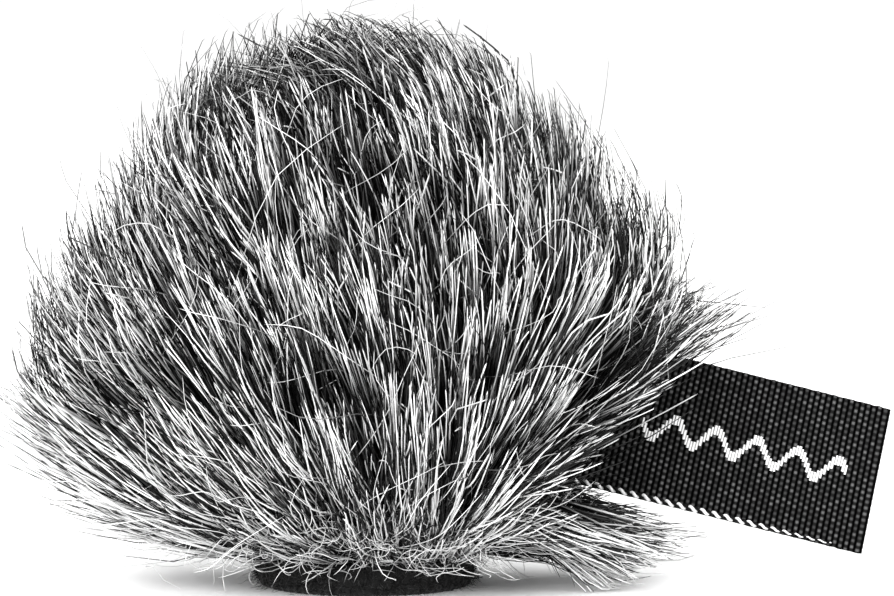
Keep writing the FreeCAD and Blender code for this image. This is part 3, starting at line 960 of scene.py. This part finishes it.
# woven label
label = {"ply": 0.2 * mm, "ribPitch": 0.29 * mm, "perRib": 4, "dotPitch": 0.31 * mm, "rows": 66,
         "ribHeight": 0.028 * mm, "dotHeight": 0.018 * mm, "wave": 0.10 * mm, "skew": 0.05,
         "waveFrom": 5.2, "waveTo": 15.8, "waveLength": 2.1, "waveHeight": 0.55, "waveWidth": 0.5,
         "inside": 0.985, "edgeFrom": 0.5 * mm, "edgeTo": 0.1 * mm, "edgeDrop": 0.04 * mm, "fray": 0.02 * mm,
         "fraySize": 0.25 * mm, "threadRoom": 0.03 * mm}


def labelPlace(u, y, v):
    u, y, v = (np.asarray(x)[..., None] for x in (u, y, v))
    return flexPoint + labelAlong * u + np.array([0.0, 1.0, 0.0]) * y + flexAxis * v


def labelSway(u, v):
    free = softStep(u, 1 * mm, 9 * mm)
    return label["wave"] * free * (np.sin(u / (5.2 * mm)) + 0.6 * np.sin(v / (2.6 * mm) + 0.7))


def makeLabelMaterial():
    material, tree, shader = newMaterial("wovenLabel", {gloss: 0.01})

    def calc(*values):
        return mathNode(tree, *values)

    def ramp(*values):
        return rangeNode(tree, *values)

    def offMiddle(value):
        return calc("ABSOLUTE", calc("SUBTRACT", value, 0.5))

    uv = addNode(tree, "ShaderNodeUVMap", {"uv_map": "cloth"})
    parts = addNode(tree, "ShaderNodeSeparateXYZ", None, {0: uv.outputs[0]})
    across, along = parts.outputs[0], parts.outputs[1]  # ribs counted one way, floats the other
    rib = offMiddle(calc("FRACT", across))
    rib = ramp(rib, 0.32, 0.08)
    odd = calc("MULTIPLY", calc("FLOOR", across), 0.37)
    step = calc("FRACT", calc("ADD", along, odd))
    dot = ramp(offMiddle(step), 0.36, 0.05)
    cell = addNode(tree, "ShaderNodeCombineXYZ", None, {
        0: calc("FLOOR", across),
        1: calc("FLOOR", calc("ADD", along, odd))})
    chance = addNode(tree, "ShaderNodeTexWhiteNoise", {"noise_dimensions": "2D"}, {"Vector": cell.outputs[0]})
    bright = calc("MULTIPLY", dot, ramp(chance.outputs["Value"], 0.2, 1.0, 0.3, 1.0))
    lit = calc("MULTIPLY", bright, rib)
    # painted shade: the gaps between the ribs are near black and the rib tops lighter
    colour = mixColour(tree, rib, grey(0.0004), grey(0.009))
    # painted highlights: the float tops where the light catches them get a brighter grey
    colour = mixColour(tree, lit, colour, grey(0.1))
    place = addNode(tree, "ShaderNodeSeparateXYZ", None, {
        0: addNode(tree, "ShaderNodeUVMap", {"uv_map": "motif"}).outputs[0]})  # a plain wave
    alongWave = calc("SNAP", place.outputs[0], label["ribPitch"] / mm / 2)
    acrossWave = calc("SNAP", place.outputs[1], 0.12)
    wave = calc("SINE", calc("MULTIPLY", alongWave, fullTurn / label["waveLength"]))
    apart = calc("ABSOLUTE", calc("MULTIPLY_ADD", wave, -label["waveHeight"], acrossWave))
    white = calc("LESS_THAN", apart, label["waveWidth"] / 2)
    white = calc("MULTIPLY", white, calc("GREATER_THAN", alongWave, label["waveFrom"]))
    white = calc("MULTIPLY", white, calc("LESS_THAN", alongWave, label["waveTo"]))
    floats = calc("FRACT", calc("MULTIPLY", place.outputs[0], mm / label["ribPitch"] * 2))
    floats = ramp(offMiddle(floats), 0.5, 0.15)
    colour = mixColour(tree, white, colour, mixColour(tree, floats, grey(0.22), grey(0.85)))
    tree.links.new(colour, shader.inputs["Base Color"])
    tree.links.new(ramp(lit, 0, 1, 0.9, 0.6, "LINEAR"), shader.inputs["Roughness"])
    height = calc("MULTIPLY_ADD", lit, 0.6, calc("MULTIPLY", rib, 0.6))
    height = calc("MULTIPLY_ADD", calc("MULTIPLY", white, floats), 1.2, height)
    addBump(tree, shader, 0.00003, height)
    return material


def keepLayers(piece, *names):
    for name in [x.name for x in piece.data.uv_layers if x.name not in names]:
        piece.data.uv_layers.remove(piece.data.uv_layers[name])


def makeLabel():
    layer = (tab["thick"] - label["ply"]) / 2
    start, half = tab["start"], tab["half"]
    end = tab["end"] - label["ply"] / 2 - label["threadRoom"]
    straight = end - layer - start
    total = 2 * straight + math.pi * layer
    columns = int(round(total / label["ribPitch"])) * label["perRib"]
    bpy.ops.mesh.primitive_grid_add(x_subdivisions=columns, y_subdivisions=label["rows"], size=1)
    piece = rename(bpy.context.object, "woven_label")
    flat = vertexArray(piece)
    s = (flat[:, 0] + 0.5) * total
    v = flat[:, 1] * 2 * half * label["inside"]
    bendAngle = np.clip((s - straight) / layer, 0, math.pi)
    bent = start + straight + layer * np.sin(bendAngle)
    u = np.where(s > straight + math.pi * layer, start + total - s, bent)
    u = np.where(s < straight, start + s, u)
    y = -layer * np.cos(bendAngle)
    outY = np.sign(y) * np.minimum(np.abs(np.cos(bendAngle)) * 3, 1)
    ribPhase = s / total * (columns / label["perRib"])
    rib = 0.5 + 0.5 * np.cos(fullTurn * (ribPhase - 0.5))
    dotPhase = v / label["dotPitch"] + np.floor(ribPhase) * 0.37
    dots = 0.5 + 0.5 * np.cos(fullTurn * (dotPhase - 0.5))
    rise = label["ribHeight"] * (rib - 0.5) + label["dotHeight"] * (dots - 0.5) * rib
    drop = softStep(np.abs(v), half - label["edgeFrom"], half - label["edgeTo"]) * label["edgeDrop"]
    y = y + outY * (rise - drop)
    u = u + np.sin(bendAngle) * rise
    y = y + labelSway(u, v)
    u = u - label["skew"] * v * np.clip(u / tab["end"], 0, 1)
    frayed = label["fray"] * noiseAt(np.stack([s, v * 0, v * 0], 1), label["fraySize"], 7)
    frayed = frayed * (np.abs(flat[:, 1]) > 0.499)
    putVertices(piece, labelPlace(u, y, v + frayed))
    cloth = piece.data.uv_layers.new(name="cloth")
    corner = np.zeros(len(piece.data.loops), int)
    piece.data.loops.foreach_get("vertex_index", corner)
    cloth.data.foreach_set("uv", np.stack([ribPhase, v / label["dotPitch"]], 1)[corner].ravel())
    motif = piece.data.uv_layers.new(name="motif")
    motif.data.foreach_set("uv", (np.stack([u, v], 1) / mm)[corner].ravel())
    keepLayers(piece, "cloth", "motif")
    thick = piece.modifiers.new("ply", "SOLIDIFY")
    thick.thickness = label["ply"]
    thick.offset = 0
    applyModifiers(piece)
    smooth(paint(piece, makeLabelMaterial()), 60)
    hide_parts("label_tab", "label_tail")
    return piece


edgeThread = {"from": 1.5 * mm, "to": 15.8 * mm, "pitch": 0.6 * mm, "perTurn": 10, "radius": 0.085 * mm,
              "inset": 0.17 * mm, "strip": 5}


def makeEdgeThread(name, phase, material):
    turns = (edgeThread["to"] - edgeThread["from"]) / edgeThread["pitch"]  # two threads, twisted
    t = np.linspace(0, 1, int(turns * edgeThread["perTurn"]))
    angle = fullTurn * turns * t + phase
    u = edgeThread["from"] + (edgeThread["to"] - edgeThread["from"]) * t
    radius = edgeThread["radius"] * (1 - 0.6 * softStep(t, 0.6, 1.0))
    v = -tab["half"] * label["inside"] + edgeThread["inset"] - radius * np.sin(angle)
    y = -tab["thick"] / 2 + label["threadRoom"] - radius * np.cos(angle) + labelSway(u, v)
    u = u - label["skew"] * v * u / tab["end"]
    piece = tubeMesh(name, labelPlace(u, y, v)[None], radius[None], np.array([edgeThread["strip"]]), sides=6)
    keepLayers(piece)
    paint(piece, material)
    return piece


whiteThread = grainMaterial("whiteThread", grey(0.8), {gloss: 0.4}, 9000.0, 0.2, 0.5, 0.00002)
darkThread = grainMaterial("darkThread", grey(0.004), {gloss: 0.1}, 9000.0, 0.2, 0.7, 0.00002)
labelPieces = [makeLabel(), makeEdgeThread("edge_thread_white", 0, whiteThread),
               makeEdgeThread("edge_thread_black", math.pi, darkThread)]
for piece in labelPieces:
    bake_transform(piece)
print("label is made")


# finishes of the head and its capsule
finishes = {  # name, colour, further values, grain size, its change, roughness, bump
    "barrel": ("blackAnodised", grey(0.012), {"Metallic": 0.85}, 9000, 0.3, 0.38, 0.00001),
    "grille_cap": ("blackCap", grey(0.014), {"Metallic": 0.85}, 9000, 0.3, 0.34, 0.00001),
    "grille_mesh": ("steelMesh", grey(0.42), {"Metallic": 1.0}, 14000, 0.3, 0.32, 0.00001),
    "cable_gland": ("glandRubber", grey(0.016), {gloss: 0.3}, 5000, 0.3, 0.62, 0.00002),
    "acoustic_felt": ("greyFelt", grey(0.06), {"Sheen Weight": 0.3}, 9000, 0.9, 0.9, 0.00008),
    "dust_felt": ("darkFelt", grey(0.03), {"Sheen Weight": 0.3}, 9000, 0.9, 0.9, 0.00008),
    "support_ring": ("blackPlastic", grey(0.02), {gloss: 0.5}, 5000, 0.2, 0.45),
    "capsule_boot": ("bootRubber", grey(0.02), {gloss: 0.3}, 5000, 0.3, 0.7),
    "capsule_can": ("drawnAluminium", grey(0.7), {"Metallic": 1.0}, 7000, 0.15, 0.3, 0.00001),
    "diaphragm_ring": ("brassRing", (0.62, 0.42, 0.16, 1), {"Metallic": 1.0}, 7000, 0.2, 0.3),
    "diaphragm": ("metalFilm", grey(0.72), {"Metallic": 0.9}, 6000, 0.1, 0.22, 0.000005),
    "spacer_ring": ("clearSpacer", grey(0.6), {gloss: 0.5}, 5000, 0.1, 0.4),
    "backplate": ("goldPlate", (0.75, 0.52, 0.2, 1), {"Metallic": 1.0}, 7000, 0.15, 0.28),
    "backplate_holder": ("whitePlastic", grey(0.68), {gloss: 0.5}, 5000, 0.1, 0.45),
    "contact_ring": ("brassContact", (0.6, 0.4, 0.15, 1), {"Metallic": 1.0}, 7000, 0.2, 0.33),
    "transistor": ("chipBlack", grey(0.015), {gloss: 0.5}, 8000, 0.2, 0.5),
    "filter_capacitor": ("capacitorTan", (0.42, 0.3, 0.18, 1), {}, 9000, 0.2, 0.45),
    "capsule_board": ("boardGreen", (0.02, 0.13, 0.05, 1), {}, 4000, 0.3, 0.4),
    "solder_joints": ("solder", grey(0.62), {"Metallic": 1.0}, 6000, 0.2, 0.25),
    "mouth_elastic": ("whiteElastic", grey(0.5), {gloss: 0.3}, 6000, 0.3, 0.7),
    "hem_stitches": ("blackThread", grey(0.012), {"Sheen Weight": 0.2}, 9000, 0.4, 0.6),
    "side_seam_thread": ("seamThread", grey(0.014), {"Sheen Weight": 0.2}, 9000, 0.4, 0.6),
    "label_stitches": ("tackThread", grey(0.012), {"Sheen Weight": 0.2}, 9000, 0.4, 0.6),
}
for name, values in finishes.items():
    paint(nodes[name], grainMaterial(*values))
print("finishes are given to", len(finishes), "nodes")


# floor, light and camera
studio = {"floor": 3.0, "world": 1.08}
lamps = [  # name, place, size, power
    ("key", (-0.09, -0.27, 0.15), 0.18, 1.32),
    ("fill", (0.28, -0.18, 0.10), 0.20, 0.4),
    ("rim", (0.02, 0.26, 0.22), 0.24, 0.7),
]
view = {"distance": 0.30, "elevation": 5.0, "lens": 241.6, "aim": (4.1 * mm, 0.0, 14.35 * mm)}


def makeStudio():
    deselectAll()
    bpy.ops.mesh.primitive_plane_add(size=studio["floor"], location=(0, 0, 0))
    floor = rename(bpy.context.object, "floor")
    paint(floor, newMaterial("paleFloor", {"Base Color": grey(0.96), "Roughness": 0.8,
                                           gloss: 0.1})[0])
    world = bpy.data.worlds.new("paleRoom")
    world.use_nodes = True
    world.node_tree.nodes["Background"].inputs[0].default_value = grey(1.0)
    world.node_tree.nodes["Background"].inputs[1].default_value = studio["world"]
    bpy.context.scene.world = world


def addSoftbox(name, place, size, power):
    deselectAll()
    bpy.ops.object.light_add(type="AREA", location=place)
    lamp = bpy.context.object
    lamp.name = name
    lamp.data.size = size
    lamp.data.energy = power
    aim = Vector(view["aim"]) - Vector(place)
    lamp.rotation_euler = aim.to_track_quat("-Z", "Y").to_euler()


def addCamera():
    deselectAll()
    tilt = math.radians(view["elevation"])
    aim = Vector(view["aim"])
    place = aim + Vector((0, -math.cos(tilt), math.sin(tilt))) * view["distance"]
    bpy.ops.object.camera_add(location=place)
    camera = bpy.context.object
    camera.rotation_euler = (aim - place).to_track_quat("-Z", "Y").to_euler()
    camera.data.lens = view["lens"]
    camera.data.sensor_width = 36
    camera.data.clip_start = 0.01
    bpy.context.scene.camera = camera


makeStudio()
for lamp in lamps:
    addSoftbox(*lamp)
addCamera()
scene = bpy.context.scene
scene.view_settings.view_transform = "Standard"
scene.view_settings.look = "None"
print("studio is set")
